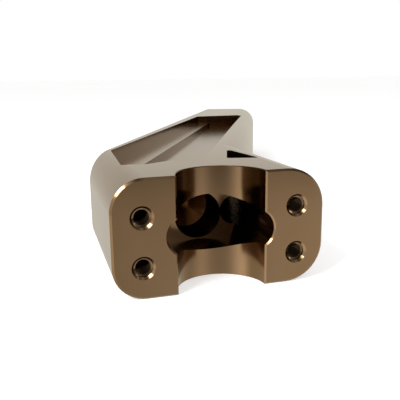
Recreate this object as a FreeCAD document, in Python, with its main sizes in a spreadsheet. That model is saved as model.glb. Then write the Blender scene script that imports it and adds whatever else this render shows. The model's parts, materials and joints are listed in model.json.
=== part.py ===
import FreeCAD, Part

import os

import Sketcher

# A tall handlebar riser, cut from one billet of aluminium.  It lies on its side: X runs across
# the clamp face, Y back along the arm and Z through the thickness.  The origin is the middle of
# the bar seat: the bar's axis is the Z axis, the clamp face is Y = 0 and the mid plane is Z = 0.

SIZES = {
    # head: the block that carries the bar seat
    "head_width": 69.0,
    "thickness": 37.5,
    "left_shoulder": 57.0,
    "right_shoulder": 61.0,
    "left_rounding": 10.5,
    "right_rounding": 12.5,
    "flank_rounding": 4.0,
    "face_chamfer": 0.7,
    "edge_break": 0.5,
    "seat_end_break": 0.25,
    # arm: both flanks lean to the right of the head's centre line, angles in degrees
    "left_flank_angle": 25.9,
    "right_flank_angle": 22.2,
    "arm_angle": 19.5,
    "arm_reach": 330.0,
    # bar seat and the oval pocket behind it
    "bar_diameter": 28.6,
    "oval_length": 34.8,
    "oval_height": 19.0,
    "oval_end_radius": 6.2,
    "oval_depth": 27.5,
    "well_diameter": 17.0,
    "well_drop": 0.8,
    "well_depth": 44.5,
    # clamp screws
    "screw_thread": 6.0,
    "screw_depth": 22.0,
    "screw_sink": 7.4,
    "screw_spread": 50.0,
    "screw_pitch": 15.5,
    "screw_drop": 1.0,
    "drill_point_angle": 118.0,
    # cable passage and the threaded mount in the base
    "passage_diameter": 10.8,
    "passage_mouth": 14.0,
    "base_thread": 12.7,
    "base_thread_length": 30.0,
    "base_sink": 1.2,
    # large window: a ledge along its left side, then a deeper floor
    "ledge_depth": 5.2,
    "window_depth": 8.0,
    "window_left_inset": 8.0,
    "window_right_inset": 33.9,
    "window_near": 27.0,
    "window_turn": 65.0,
    "window_turn_inset": 1.6,
    "window_far": 232.0,
    "window_left_angle": 27.1,
    "window_right_angle": 24.3,
    "ledge_setback": 2.1,
    "ledge_angle": 25.2,
    "window_corner": 2.0,
    # the window's near side rises to a peak between two forward corners
    "left_forward": 2.1,
    "left_forward_inset": 15.7,
    "peak_setback": 3.1,
    "peak_across": 9.0,
    "right_forward": 3.3,
    # small window, a triangle beside the right shoulder
    "gusset_left_inset": 23.1,
    "gusset_left_near": 28.5,
    "gusset_right_inset": 12.1,
    "gusset_right_near": 25.3,
    "gusset_tip_inset": 15.1,
    "gusset_far": 51.2,
    "gusset_corner": 1.0,
}

TOUCHING = 0.01


def write_sheet(doc):
    sheet = doc.addObject("Spreadsheet::Sheet", "Sizes")
    for row, (alias, value) in enumerate(SIZES.items(), 1):
        sheet.set(f"A{row}", alias)
        sheet.set(f"B{row}", str(value))
        sheet.setAlias(f"B{row}", alias)
    doc.recompute()
    return sheet


def named(text):
    """An expression in which each word of SIZES points at its cell."""
    for alias in sorted(SIZES, key=len, reverse=True):
        text = text.replace(f"<{alias}>", f"Sizes.{alias}")
    return text


def new_sketch(body, name, role, lift=None):
    """A sketch on one of the body's origin planes, lifted off it by an expression."""
    plane = next(item for item in body.Origin.OriginFeatures if item.Role == role)
    sketch = body.newObject("Sketcher::SketchObject", name)
    sketch.AttachmentSupport = [(plane, "")]
    sketch.MapMode = "FlatFace"
    if lift:
        sketch.setExpression("AttachmentOffset.Base.z", named(lift))
    return sketch


def value_of(sketch, text):
    return float(sketch.evalExpression(named(text)))


def bind(sketch, kind, places, text):
    """Adds one dimension and binds it to an expression."""
    index = sketch.addConstraint(Sketcher.Constraint(kind, *places, value_of(sketch, text)))
    sketch.setExpression(f"Constraints[{index}]", named(text))


def add_outline(sketch, corners, arc_through=None):
    """A closed outline, each corner placed by a pair of expressions.

    Its sides are straight, apart from the last one where a point for an arc is given.
    """
    spots = [FreeCAD.Vector(value_of(sketch, x), value_of(sketch, y), 0) for x, y in corners]
    sides = [Part.LineSegment(a, b) for a, b in zip(spots, spots[1:] + spots[:1])]
    if arc_through:
        middle = FreeCAD.Vector(*(value_of(sketch, text) for text in arc_through), 0)
        sides[-1] = Part.Arc(spots[-1], middle, spots[0])
    first = sketch.GeometryCount
    sketch.addGeometry(sides, False)
    for number, (x, y) in enumerate(corners):
        side = first + number
        before = first + (number - 1) % len(corners)
        sketch.addConstraint(Sketcher.Constraint("Coincident", before, 2, side, 1))
        bind(sketch, "DistanceX", (-1, 1, side, 1), x)
        bind(sketch, "DistanceY", (-1, 1, side, 1), y)
    return spots


def add_circle(sketch, x, y, diameter):
    centre = FreeCAD.Vector(value_of(sketch, x), value_of(sketch, y), 0)
    radius = value_of(sketch, diameter) / 2
    circle = sketch.addGeometry(Part.Circle(centre, FreeCAD.Vector(0, 0, 1), radius), False)
    bind(sketch, "DistanceX", (-1, 1, circle, 3), x)
    bind(sketch, "DistanceY", (-1, 1, circle, 3), y)
    bind(sketch, "Diameter", (circle,), diameter)


def pick_edges(feature, wanted):
    return [f"Edge{n}" for n, edge in enumerate(feature.Shape.Edges, 1) if wanted(edge)]


def edge_points(edge):
    return [edge.valueAt(edge.FirstParameter + part * (edge.LastParameter - edge.FirstParameter))
            for part in (0.0, 0.5, 1.0)]


def dress(body, kind, name, size_property, size, wanted):
    """A fillet or chamfer on those edges of the body's last feature that are wanted."""
    base = body.Tip
    feature = body.newObject(f"PartDesign::{kind}", name)
    feature.Base = (base, pick_edges(base, wanted))
    feature.setExpression(size_property, named(size))
    body.Document.recompute()
    return feature


def cut(body, name, sketch, depth=None, both_ways=False):
    """A pocket that goes against the sketch's normal, or right through both ways."""
    pocket = body.newObject("PartDesign::Pocket", name)
    pocket.Profile = sketch
    if both_ways:
        pocket.SideType = "Symmetric"
        pocket.Type = "ThroughAll"
    else:
        pocket.setExpression("Length", named(depth))
    body.Document.recompute()
    return pocket


# ---- blank ----

LEFT_SIDE, RIGHT_SIDE = "-<head_width> / 2", "<head_width> / 2"


def along_arm(distance, across="0"):
    """The point on the passage's line at a distance past its mouth, moved across to the right."""
    x = f"<passage_mouth> + ({distance}) * sin(<arm_angle>) + ({across}) * cos(<arm_angle>)"
    y = f"<oval_depth> + ({distance}) * cos(<arm_angle>) - ({across}) * sin(<arm_angle>)"
    return x, y


# The base is square to the arm's angle, at its reach from the bar's axis.
PASSAGE_LENGTH = "(<arm_reach> - <passage_mouth> * sin(<arm_angle>) - <oval_depth> * cos(<arm_angle>))"


def flank_end(x, shoulder, angle):
    """Where a flank that leaves (x, shoulder) at an angle meets the base."""
    start = f"({x}) * sin(<arm_angle>) + {shoulder} * cos(<arm_angle>)"
    run = f"(<arm_reach> - ({start})) / cos({angle} - <arm_angle>)"
    return f"{x} + {run} * sin({angle})", f"{shoulder} + {run} * cos({angle})"


def blank(body):
    """The plan of head and arm, padded to the thickness.  Returns the plan's corners."""
    sketch = new_sketch(body, "PlanSketch", "XY_Plane")
    corners = add_outline(sketch, [
        (LEFT_SIDE, "0"),
        (RIGHT_SIDE, "0"),
        (RIGHT_SIDE, "<right_shoulder>"),
        flank_end(RIGHT_SIDE, "<right_shoulder>", "<right_flank_angle>"),
        flank_end(LEFT_SIDE, "<left_shoulder>", "<left_flank_angle>"),
        (LEFT_SIDE, "<left_shoulder>"),
    ])
    pad = body.newObject("PartDesign::Pad", "Blank")
    pad.Profile = sketch
    pad.SideType = "Symmetric"
    pad.setExpression("Length", named("<thickness>"))
    body.Document.recompute()
    return corners


def runs_along(edge, start, end):
    """Whether an edge lies flat, above or below the plan's side from start to end."""
    side = Part.makeLine(start, end)
    flat = [FreeCAD.Vector(point.x, point.y, 0) for point in edge_points(edge)]
    level = edge_points(edge)[0].z - edge_points(edge)[2].z
    return abs(level) < TOUCHING and all(side.distToShape(Part.Vertex(p))[0] < TOUCHING for p in flat)


def round_sides(body, corners):
    """The long edges of head and arm are rounded, most at the right, least round the left flank."""
    front_left, front_right, right_turn, base_right, base_left, left_turn = corners
    dress(body, "Fillet", "LeftRounding", "Radius", "<left_rounding>",
          lambda edge: runs_along(edge, left_turn, front_left))
    dress(body, "Fillet", "RightRounding", "Radius", "<right_rounding>",
          lambda edge: runs_along(edge, front_right, right_turn) or runs_along(edge, right_turn, base_right))
    flank = Part.makeLine(base_left, left_turn)

    def round_flank(edge):
        flat = [FreeCAD.Vector(point.x, point.y, 0) for point in edge_points(edge)]
        on_flank = all(flank.distToShape(Part.Vertex(point))[0] < TOUCHING for point in flat)
        return on_flank and max((point - base_left).Length for point in flat) > TOUCHING

    dress(body, "Fillet", "FlankRounding", "Radius", "<flank_rounding>", round_flank)


def chamfer_face(body):
    dress(body, "Chamfer", "FaceChamfer", "Size", "<face_chamfer>",
          lambda edge: all(abs(point.y) < TOUCHING for point in edge_points(edge)))


def break_base_edge(body, corners):
    """The sharp rim of the base is broken."""
    base_right, base_left = corners[3:5]
    lean = (base_right - base_left).normalize()
    dress(body, "Chamfer", "BaseEdgeBreak", "Size", "<edge_break>",
          lambda edge: all(abs((p - base_left).cross(lean).z) < TOUCHING for p in edge_points(edge)))


# ---- bar seat, oval pocket and well ----

def bar_seat(body):
    """A half round through the thickness, its two edges on the clamp face broken."""
    sketch = new_sketch(body, "BarSeatSketch", "XY_Plane")
    seat, edge = "<bar_diameter> / 2", "<edge_break>"
    inner = f"sqrt(({seat})^2 - {edge}^2)"
    corners = [
        (f"-({inner})", edge),
        (f"-({seat} + {edge})", "0"),
        (f"-({seat} + {edge})", f"-{edge}"),
        (f"{seat} + {edge}", f"-{edge}"),
        (f"{seat} + {edge}", "0"),
        (inner, edge),
    ]
    add_outline(sketch, corners, arc_through=("0", seat))
    bind(sketch, "Radius", (len(corners) - 1,), seat)
    cut(body, "BarSeat", sketch, both_ways=True)


def break_seat_ends(body):
    """The seat's round edges, where it runs out of both sides, are broken."""
    sketch = body.Tip.Profile[0]
    half = value_of(sketch, "<thickness> / 2")
    seat = value_of(sketch, "<bar_diameter> / 2")

    def at_end(point):
        return abs(point.x ** 2 + point.y ** 2 - seat ** 2) < TOUCHING and abs(abs(point.z) - half) < TOUCHING

    dress(body, "Chamfer", "SeatEndBreak", "Size", "<seat_end_break>",
          lambda edge: all(at_end(point) for point in edge_points(edge)))


def oval_sketch(body, name, grow):
    """An oval of four tangent arcs on the clamp face, grown all round by an expression."""
    sketch = new_sketch(body, name, "XZ_Plane")
    end_centre = "<oval_length> / 2 - <oval_end_radius>"
    reach = f"(({end_centre})^2 + (<oval_height> / 2)^2 - <oval_end_radius>^2)"
    end_radius = f"<oval_end_radius> + {grow}"
    side_radius = f"{reach} / (<oval_height> - 2 * <oval_end_radius>) + {grow}"
    across = value_of(sketch, end_centre)
    end_r = value_of(sketch, end_radius)
    side_r = value_of(sketch, side_radius)
    drop = side_r - value_of(sketch, f"<oval_height> / 2 + {grow}")
    normal = FreeCAD.Vector(0, 0, 1)
    lean = FreeCAD.Vector(across, drop, 0).getAngle(FreeCAD.Vector(1, 0, 0))
    half_turn = FreeCAD.Units.parseQuantity("180 deg").getValueAs("rad").Value
    arcs = (
        (FreeCAD.Vector(across, 0, 0), end_r, -lean, lean),
        (FreeCAD.Vector(0, -drop, 0), side_r, lean, half_turn - lean),
        (FreeCAD.Vector(-across, 0, 0), end_r, half_turn - lean, half_turn + lean),
        (FreeCAD.Vector(0, drop, 0), side_r, half_turn + lean, 2 * half_turn - lean),
    )
    for centre, radius, start, end in arcs:
        sketch.addGeometry(Part.ArcOfCircle(Part.Circle(centre, normal, radius), start, end), False)
    for arc in range(4):
        sketch.addConstraint(Sketcher.Constraint("Tangent", arc, 2, (arc + 1) % 4, 1))
    for arc, side in ((0, ""), (2, "-")):
        sketch.addConstraint(Sketcher.Constraint("PointOnObject", arc, 3, -1))
        bind(sketch, "DistanceX", (-1, 1, arc, 3), f"{side}({end_centre})")
        bind(sketch, "Radius", (arc,), end_radius)
    for arc in (1, 3):
        bind(sketch, "Radius", (arc,), side_radius)
    return sketch


def oval_pocket(body):
    """The oval is cut straight back, then its edge on the clamp face is broken by a taper."""
    cut(body, "OvalPocket", oval_sketch(body, "OvalSketch", "0"), "<oval_depth>")
    taper = cut(body, "OvalEdgeBreak", oval_sketch(body, "OvalEdgeSketch", "<edge_break>"), "<edge_break>")
    taper.TaperAngle = -45
    body.Document.recompute()


def drill(body, name, sketch, diameter, depth, sink=None):
    """Blind drilled holes with a pointed end, countersunk where a sink diameter is given."""
    hole = body.newObject("PartDesign::Hole", name)
    hole.Profile = sketch
    body.Document.recompute()
    hole.DepthType = "Dimension"
    hole.DrillPoint = "Angled"
    hole.setExpression("Diameter", named(diameter))
    hole.setExpression("Depth", named(depth))
    hole.setExpression("DrillPointAngle", named("<drill_point_angle>"))
    if sink:
        hole.HoleCutType = "Countersink"
        hole.HoleCutCustomValues = True
        hole.setExpression("HoleCutDiameter", named(sink))
    body.Document.recompute()


def well(body):
    """A round blind well on the bar seat's centre line, deeper than the oval pocket."""
    sketch = new_sketch(body, "WellSketch", "XZ_Plane")
    add_circle(sketch, "0", "-<well_drop>", "<well_diameter>")
    drill(body, "Well", sketch, "<well_diameter>", "<well_depth>")


def clamp_screws(body):
    """Two screws in each ear; the wall stands at the thread's outer diameter."""
    sketch = new_sketch(body, "ClampScrewSketch", "XZ_Plane")
    for across in ("-<screw_spread> / 2", "<screw_spread> / 2"):
        for up in ("-<screw_pitch> / 2", "<screw_pitch> / 2"):
            add_circle(sketch, across, f"{up} - <screw_drop>", "<screw_thread>")
    drill(body, "ClampScrews", sketch, "<screw_thread>", "<screw_depth>", sink="<screw_sink>")


def passage(body):
    """The cable passage: drilled from the base into the oval pocket, and threaded at the base."""
    sketch = new_sketch(body, "PassageSketch", "XY_Plane")
    bore, thread = "<passage_diameter> / 2", "<base_thread> / 2"
    end = PASSAGE_LENGTH
    inner = f"{end} - <base_thread_length>"
    add_outline(sketch, [
        along_arm("-<passage_diameter> / 2"),
        along_arm("-<passage_diameter> / 2", bore),
        along_arm(inner, bore),
        along_arm(inner, thread),
        along_arm(f"{end} - <base_sink>", thread),
        along_arm(end, f"{thread} + <base_sink>"),
        along_arm(end),
    ])
    groove = body.newObject("PartDesign::Groove", "CablePassage")
    groove.Profile = sketch
    groove.ReferenceAxis = (sketch, ["Edge7"])
    groove.Angle = 360
    body.Document.recompute()


# ---- windows ----

def line_x(x, y, angle, at):
    """The x, at a given y, of the line that leaves (x, y) at an angle from the Y axis."""
    return f"{x} + ({at} - {y}) * tan({angle})"


WINDOW_LEFT = f"{LEFT_SIDE} + <window_left_inset>"
WINDOW_RIGHT = f"{RIGHT_SIDE} - <window_right_inset>"
WINDOW_RIGHT_NEAR = "(<window_near> - <right_forward>)"


def window_near_side():
    """The sides that ledge and floor share: the bent one near the head, and the one at the right."""
    return [
        (WINDOW_LEFT, "<window_near>"),
        (f"{LEFT_SIDE} + <left_forward_inset>", "<window_near> - <left_forward>"),
        ("-<peak_across>", "<window_near> + <peak_setback>"),
        (WINDOW_RIGHT, WINDOW_RIGHT_NEAR),
        (line_x(WINDOW_RIGHT, WINDOW_RIGHT_NEAR, "<window_right_angle>", "<window_far>"), "<window_far>"),
    ]


def windows(body):
    """Both windows are cut from the upper side and mirrored to the lower one."""
    top = "<thickness> / 2"
    turn = f"{WINDOW_LEFT} + <window_turn_inset>"
    part_way = "<ledge_setback> / (<window_turn> - <window_near>)"
    start = f"{WINDOW_LEFT} + <window_turn_inset> * {part_way}"
    start_near = "(<window_near> + <ledge_setback>)"
    ledge = new_sketch(body, "LedgeSketch", "XY_Plane", top)
    add_outline(ledge, window_near_side() + [
        (line_x(turn, "<window_turn>", "<window_left_angle>", "<window_far>"), "<window_far>"),
        (turn, "<window_turn>"),
    ])
    floor = new_sketch(body, "FloorSketch", "XY_Plane", top)
    add_outline(floor, window_near_side() + [
        (line_x(start, start_near, "<ledge_angle>", "<window_far>"), "<window_far>"),
        (start, start_near),
    ])
    gusset = new_sketch(body, "GussetSketch", "XY_Plane", top)
    add_outline(gusset, [
        (f"{RIGHT_SIDE} - <gusset_left_inset>", "<gusset_left_near>"),
        (f"{RIGHT_SIDE} - <gusset_right_inset>", "<gusset_right_near>"),
        (f"{RIGHT_SIDE} - <gusset_tip_inset>", "<gusset_far>"),
    ])
    cuts = [
        cut(body, "WindowLedge", ledge, "<ledge_depth>"),
        cut(body, "WindowFloor", floor, "<window_depth>"),
        cut(body, "GussetWindow", gusset, "<window_depth>"),
    ]
    middle = next(item for item in body.Origin.OriginFeatures if item.Role == "XY_Plane")
    mirror = body.newObject("PartDesign::Mirrored", "LowerWindows")
    mirror.Originals = cuts
    mirror.MirrorPlane = (middle, [""])
    body.Tip = mirror
    body.Document.recompute()
    round_corners(body, "WindowCorners", "<window_corner>", ledge, floor)
    round_corners(body, "GussetCorners", "<gusset_corner>", gusset)


def round_corners(body, name, radius, *sketches):
    """The upright edges at the corners of a window's outlines are rounded."""
    outlines = [vertex.Point for sketch in sketches for vertex in sketch.Shape.Vertexes]

    def upright(edge):
        start, _, end = edge_points(edge)
        plan = (end - start).x ** 2 + (end - start).y ** 2
        return plan < TOUCHING and any(abs(start.x - p.x) + abs(start.y - p.y) < TOUCHING for p in outlines)

    dress(body, "Fillet", name, "Radius", radius, upright)


def build():
    doc = FreeCAD.newDocument("BarRiser")
    write_sheet(doc)
    body = doc.addObject("PartDesign::Body", "BarRiser")
    body.Label = "bar_riser"
    corners = blank(body)
    round_sides(body, corners)
    chamfer_face(body)
    break_base_edge(body, corners)
    bar_seat(body)
    break_seat_ends(body)
    oval_pocket(body)
    well(body)
    clamp_screws(body)
    passage(body)
    windows(body)
    doc.recompute()
    return doc


def write_parts(doc):
    for item in doc.Objects:
        if {"Invalid", "Error"} & set(item.State):
            raise RuntimeError(f"{item.Name} failed: {item.State}")
    os.makedirs("parts", exist_ok=True)
    for body in doc.findObjects("PartDesign::Body"):
        shape = body.Shape
        if shape.isNull() or not shape.isValid() or len(shape.Solids) != 1:
            raise RuntimeError(f"{body.Label} is not one sound solid")
        shape.exportStep(f"parts/{body.Label}.step")
        print(body.Label, round(shape.Volume / 1000, 2), "cm3", shape.BoundBox)


write_parts(build())
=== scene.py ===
import json
import math

import bpy
from mathutils import Matrix, Vector


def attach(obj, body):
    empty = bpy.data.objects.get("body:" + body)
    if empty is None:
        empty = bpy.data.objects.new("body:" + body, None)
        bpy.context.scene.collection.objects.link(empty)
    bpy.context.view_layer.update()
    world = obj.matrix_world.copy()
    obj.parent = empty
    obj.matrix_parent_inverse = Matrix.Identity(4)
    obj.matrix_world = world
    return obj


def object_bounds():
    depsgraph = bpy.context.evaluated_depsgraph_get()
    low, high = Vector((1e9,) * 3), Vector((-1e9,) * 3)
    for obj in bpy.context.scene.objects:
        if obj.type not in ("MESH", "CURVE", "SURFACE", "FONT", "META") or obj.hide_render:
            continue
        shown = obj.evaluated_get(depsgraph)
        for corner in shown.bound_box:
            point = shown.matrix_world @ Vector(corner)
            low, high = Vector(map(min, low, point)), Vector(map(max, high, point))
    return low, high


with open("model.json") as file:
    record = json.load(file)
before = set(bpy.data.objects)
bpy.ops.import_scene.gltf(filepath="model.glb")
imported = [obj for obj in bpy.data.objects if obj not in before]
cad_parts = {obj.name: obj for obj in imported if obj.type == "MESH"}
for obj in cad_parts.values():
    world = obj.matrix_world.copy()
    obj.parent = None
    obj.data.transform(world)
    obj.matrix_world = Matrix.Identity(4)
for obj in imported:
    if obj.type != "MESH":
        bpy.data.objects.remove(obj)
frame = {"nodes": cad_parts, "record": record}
cad_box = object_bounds()

MM = 0.001
WHITE = (1.0, 1.0, 1.0, 1.0)

# ---- shader expressions ----


class Value:
    """A shader socket that can be used in Python expressions: each operation adds its node."""

    def __init__(self, tree, socket):
        self.tree = tree
        self.socket = socket

    def math(self, operation, *values):
        inputs = dict(enumerate((self, *values)))
        return add_node(self.tree, "Math", {"operation": operation}, inputs)

    def __add__(self, other):
        return self.math("ADD", other)

    def __sub__(self, other):
        return self.math("SUBTRACT", other)

    def __mul__(self, other):
        return self.math("MULTIPLY", other)

    def __truediv__(self, other):
        return self.math("DIVIDE", other)

    def __rsub__(self, other):
        return add_node(self.tree, "Math", {"operation": "SUBTRACT"}, {0: other, 1: self})

    __radd__ = __add__
    __rmul__ = __mul__

    def __neg__(self):
        return self * -1

    def ramp(self, start, end):
        """0 below start, 1 above end, and smooth between them."""
        inputs = {"Value": self, "From Min": start, "From Max": end}
        return add_node(self.tree, "MapRange", {"interpolation_type": "SMOOTHSTEP"}, inputs)

    def hump(self, middle, width):
        """1 at the middle, falling to about a third one width away."""
        away = (self - middle) / width
        return (-(away * away)).math("EXPONENT")

    def axes(self):
        node = add_node(self.tree, "SeparateXYZ", inputs={"Vector": self}).socket.node
        return [Value(self.tree, node.outputs[axis]) for axis in "XYZ"]


def add_node(tree, kind, settings=None, inputs=None, output=0):
    """Adds one node: its settings first, then numbers, tuples or values for its sockets."""
    node = tree.nodes.new("ShaderNode" + kind)
    for name, setting in (settings or {}).items():
        setattr(node, name, setting)
    for name, value in (inputs or {}).items():
        if isinstance(value, Value):
            tree.links.new(value.socket, node.inputs[name])
        else:
            node.inputs[name].default_value = value
    return Value(tree, node.outputs[output])


def mix_colours(tree, share, first, second):
    inputs = {"Factor": share, "A": first, "B": second}
    return add_node(tree, "Mix", {"data_type": "RGBA"}, inputs, output="Result")


def new_material(name, **constants):
    """A material with these constants on its shader's own sockets, given with tree and shader."""
    material = bpy.data.materials.new(name)
    material.use_nodes = True
    shader = material.node_tree.nodes["Principled BSDF"]
    for socket, value in constants.items():
        shader.inputs[socket.replace("_", " ")].default_value = value
    return material, material.node_tree, shader


def feed(shader, **values):
    """Links values to the shader's sockets."""
    for socket, value in values.items():
        value.tree.links.new(value.socket, shader.inputs[socket.replace("_", " ")])


# ---- the clamp screws' holes, as the frame gives them ----

clamp_screws = next(m for m in frame["record"]["mounts"] if m["name"] == "clamp_screws")
SCREW_CENTRE = Vector(clamp_screws["pos_m"])
HOLE_RADIUS = clamp_screws["dims"]["hole_r_mm"] * MM
HALF_SPREAD = clamp_screws["dims"]["spacing_x_mm"] / 2 * MM
HALF_PITCH = clamp_screws["dims"]["spacing_y_mm"] / 2 * MM

# ---- the anodised finish ----

BRONZE = (0.215, 0.131, 0.066, 1.0)
BRONZE_PALE = (0.235, 0.146, 0.076, 1.0)
# painted shade: a dark bronze that stands in for the shade inside the tapped holes
BRONZE_PAINTED_HOLE_SHADE = (0.05, 0.033, 0.018, 1.0)
SWEEP_CENTRE = (-0.35, 0.2)
MARK_HEIGHT = 0.02 * MM


def painted_shade_in_screw_holes(place):
    """Painted shade: 1 inside the four tapped holes, where little light comes back out, and 0
    elsewhere.
    """
    x, y, z = place.axes()
    across = x.math("ABSOLUTE") - HALF_SPREAD
    up = (z - SCREW_CENTRE.z).math("ABSOLUTE") - HALF_PITCH
    away = (across * across + up * up).math("SQRT")
    within = 1 - away.ramp(HOLE_RADIUS + 0.1 * MM, HOLE_RADIUS + 0.3 * MM)
    past_mouth = y.ramp(1.0 * MM, 2.5 * MM)
    before_end = 1 - y.ramp(25 * MM, 26 * MM)
    return within * past_mouth * before_end


def cutter_marks(tree, place):
    """Fine upright lines on the sides, and wide arcs from a face cutter on the flat faces."""
    facing_up = add_node(tree, "NewGeometry", output="True Normal").axes()[2].math("ABSOLUTE")
    flat = facing_up.ramp(0.6, 0.8)
    drawn_out = add_node(
        tree, "Mapping", inputs={"Vector": place, "Scale": (2400.0, 2400.0, 50.0)})
    lines = add_node(
        tree, "TexNoise", inputs={"Vector": drawn_out, "Scale": 1.0, "Detail": 2.0})
    shift = (-SWEEP_CENTRE[0], -SWEEP_CENTRE[1], 0.0)
    centred = add_node(tree, "Mapping", inputs={"Vector": place, "Location": shift})
    arcs = add_node(
        tree, "TexWave", {"wave_type": "RINGS", "rings_direction": "Z"},
        {"Vector": centred, "Scale": 420.0, "Distortion": 1.5, "Detail": 2.0,
         "Detail Scale": 0.2})
    return lines * (1 - flat) + arcs * flat


def anodised_aluminium():
    """Bronze anodised metal with the faint marks of the cutters that shaped it, and painted shade
    inside the screw holes.
    """
    material, tree, shader = new_material("anodised_aluminium", Metallic=1.0)
    place = add_node(tree, "TexCoord", output="Object")
    cloud = add_node(
        tree, "TexNoise", inputs={"Vector": place, "Scale": 45.0, "Detail": 4.0})
    marks = cutter_marks(tree, place)
    tint = mix_colours(tree, cloud.ramp(0.3, 0.7), BRONZE, BRONZE_PALE)
    # painted shade: the holes' walls and the thread ridges in them are darkened in colour, not by
    # light
    colour = mix_colours(tree, painted_shade_in_screw_holes(place), tint, BRONZE_PAINTED_HOLE_SHADE)
    relief = add_node(
        tree, "Bump", inputs={"Height": marks, "Strength": 0.05, "Distance": MARK_HEIGHT})
    roughness = 0.13 + 0.05 * cloud + 0.03 * marks
    feed(shader, Base_Color=colour, Roughness=roughness, Normal=relief)
    return material


# ---- screw threads: the holes' walls are the threads' roots ----

PITCH = 1.0 * MM
TURNS = 20
STEPS_PER_TURN = 36
RIDGE_HEIGHT = 0.54 * PITCH
HALF_ROOT = 0.43 * PITCH
HALF_CREST = 0.125 * PITCH
SEAT_IN_WALL = 0.02 * MM
THREAD_START = 1.2 * MM
INWARDS = Vector((0, 1, 0))


def thread_ridge(finish):
    """The ridge of one hole's thread: a turn's section, swept inwards from the origin."""
    bpy.ops.object.select_all(action="DESELECT")
    bpy.ops.mesh.primitive_plane_add(size=1.0)
    ridge = bpy.context.object
    crest, root = HOLE_RADIUS - RIDGE_HEIGHT, HOLE_RADIUS + SEAT_IN_WALL
    section = [(crest, 0, -HALF_CREST), (crest, 0, HALF_CREST),
               (root, 0, -HALF_ROOT), (root, 0, HALF_ROOT)]
    for vertex, spot in zip(ridge.data.vertices, section):
        vertex.co = spot
    sweep = ridge.modifiers.new("turns", "SCREW")
    sweep.axis = "Z"
    sweep.screw_offset = PITCH
    sweep.iterations = TURNS
    sweep.steps = sweep.render_steps = STEPS_PER_TURN
    sweep.use_smooth_shade = False
    bpy.ops.object.modifier_apply(modifier=sweep.name)
    ridge.data.transform(INWARDS.to_track_quat("Z", "Y").to_matrix().to_4x4())
    bpy.ops.object.mode_set(mode="EDIT")
    bpy.ops.mesh.select_all(action="SELECT")
    bpy.ops.mesh.remove_doubles(threshold=0.001 * MM)
    bpy.ops.mesh.normals_make_consistent(inside=False)
    bpy.ops.object.mode_set(mode="OBJECT")
    bpy.ops.object.shade_smooth_by_angle(angle=math.radians(30))
    ridge.data.materials.append(finish)
    return ridge


def thread_screw_holes(finish):
    """One ridge is modelled, and each hole gets it or a copy of it."""
    ridges = [thread_ridge(finish)]
    for _ in range(3):
        copy = ridges[0].copy()
        copy.data = ridges[0].data.copy()
        bpy.context.scene.collection.objects.link(copy)
        ridges.append(copy)
    corners = [(-1, -1), (-1, 1), (1, -1), (1, 1)]
    for number, (ridge, (side, level)) in enumerate(zip(ridges, corners), 1):
        ridge.name = f"screw_thread_{number}"
        mouth = Vector((SCREW_CENTRE.x + side * HALF_SPREAD, THREAD_START,
                        SCREW_CENTRE.z + level * HALF_PITCH))
        ridge.data.transform(Matrix.Translation(mouth))
        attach(ridge, "root")


# ---- studio: what the metal mirrors.  Azimuths, in degrees, run from straight out of the
# clamp face and are positive to the right ----

RIGHT_GLOW = (38, 24)
LEFT_GLOW = (-70, 25)
TABLE, TABLE_RIGHT, TABLE_LEFT = 0.69, 0.42, 1.0
ROOM, ROOM_RIGHT, ROOM_LEFT = 0.16, 0.45, 1.1
BACKDROP, CEILING_LOSS = 0.8, 0.6
BACKDROP_WARMTH = (1.0, 0.975, 0.87, 1.0)
SURROUNDING_LIGHT = 0.6

FLOOR_SIZE = 30.0
FLOOR_PAINT = (0.8, 0.8, 0.8, 1.0)
FLOOR_GLOW = 0.5

EYE = Vector((-52.72, -153.17, 47.11)) * MM
TURN, DIP, ROLL = 16.55, 12.75, -0.70
LENS = 49.1


def direction(azimuth, elevation):
    """The unit vector towards an azimuth and an elevation."""
    turn, rise = math.radians(azimuth), math.radians(elevation)
    level = math.cos(rise)
    return Vector((math.sin(turn) * level, -math.cos(turn) * level, math.sin(rise)))


def add_object(name, data, matrix):
    item = bpy.data.objects.new(name, data)
    bpy.context.scene.collection.objects.link(item)
    item.matrix_world = matrix
    return item


def lay_floor(level):
    """Pale and matt, and white to the eye where no shadow falls."""
    material, tree, shader = new_material(
        "pale_floor", Roughness=0.9, Base_Color=FLOOR_PAINT, Emission_Color=WHITE)
    seen = add_node(tree, "LightPath", output="Is Camera Ray")
    feed(shader, Emission_Strength=seen * FLOOR_GLOW)
    bpy.ops.object.select_all(action="DESELECT")
    bpy.ops.mesh.primitive_plane_add(size=FLOOR_SIZE, location=(0, 0, level))
    floor = bpy.context.object
    floor.name = "floor"
    floor.data.materials.append(material)
    floor.visible_glossy = False


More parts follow.
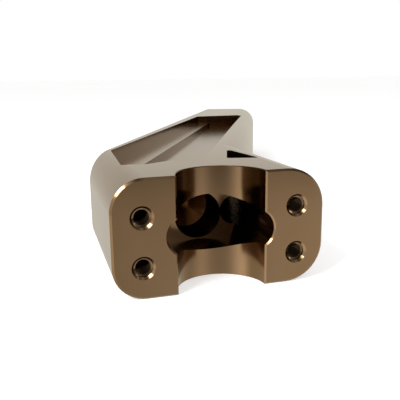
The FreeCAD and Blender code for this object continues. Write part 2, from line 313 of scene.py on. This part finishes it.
def light_tent():
    """White behind the part; in front a pale table under two soft lamps, in a dark room."""
    world = bpy.data.worlds.new("light_tent")
    world.use_nodes = True
    tree = world.node_tree
    x, y, z = add_node(tree, "TexCoord", output="Generated").axes()
    azimuth = x.math("ARCTAN2", -y) * (180 / math.pi)
    right, left = azimuth.hump(*RIGHT_GLOW), azimuth.hump(*LEFT_GLOW)
    table = TABLE + TABLE_RIGHT * right + TABLE_LEFT * left
    room = ROOM + ROOM_RIGHT * right + ROOM_LEFT * left
    above_table = z.ramp(-0.20, -0.17)
    front = room * above_table + table * (1 - above_table)
    behind = y.ramp(-0.2, 0.25)
    backdrop = BACKDROP - CEILING_LOSS * z.ramp(0.25, 0.6)
    mirrored = backdrop * behind + front * (1 - behind)

    path = add_node(tree, "LightPath").socket.node
    camera, glossy, transmission = [
        Value(tree, path.outputs[f"Is {ray} Ray"]) for ray in ("Camera", "Glossy", "Transmission")]
    seen = camera + transmission
    strength = seen + glossy * mirrored + (1 - seen - glossy) * SURROUNDING_LIGHT
    colour = mix_colours(tree, glossy * behind, WHITE, BACKDROP_WARMTH)
    background = tree.nodes["Background"]
    tree.links.new(strength.socket, background.inputs["Strength"])
    tree.links.new(colour.socket, background.inputs["Color"])
    bpy.context.scene.world = world


def hang_lamp(name, azimuth, elevation, distance, size, radiance):
    """A square soft lamp that looks at the head."""
    toward = direction(azimuth, elevation)
    lamp = bpy.data.lights.new(name, "AREA")
    lamp.size = size
    lamp.energy = radiance * math.pi * size ** 2
    aim = toward.to_track_quat("Z", "Y").to_matrix().to_4x4()
    add_object(name, lamp, Matrix.Translation(toward * distance) @ aim)


def set_camera():
    """The eye stands low in front of the clamp face, to its left, and looks along the arm."""
    lens = bpy.data.cameras.new("camera")
    lens.sensor_width = 36.0
    lens.lens = LENS
    lens.clip_start = 0.01
    forward = -direction(-TURN, DIP)
    aim = forward.to_track_quat("-Z", "Y").to_matrix()
    aim = aim @ Matrix.Rotation(math.radians(ROLL), 3, "Z")
    bpy.context.scene.camera = add_object("camera", lens, Matrix.Translation(EYE) @ aim.to_4x4())


# ---- the scene ----

finish = anodised_aluminium()
riser = frame["nodes"]["bar_riser"]
riser.data.materials.clear()
riser.data.materials.append(finish)
thread_screw_holes(finish)

lay_floor(cad_box[0].z)
light_tent()
hang_lamp("key_lamp", azimuth=-63, elevation=40, distance=0.7, size=0.3, radiance=16)
hang_lamp("fill_lamp", azimuth=60, elevation=30, distance=0.8, size=0.25, radiance=5)
set_camera()
bpy.context.scene.view_settings.view_transform = "Standard"
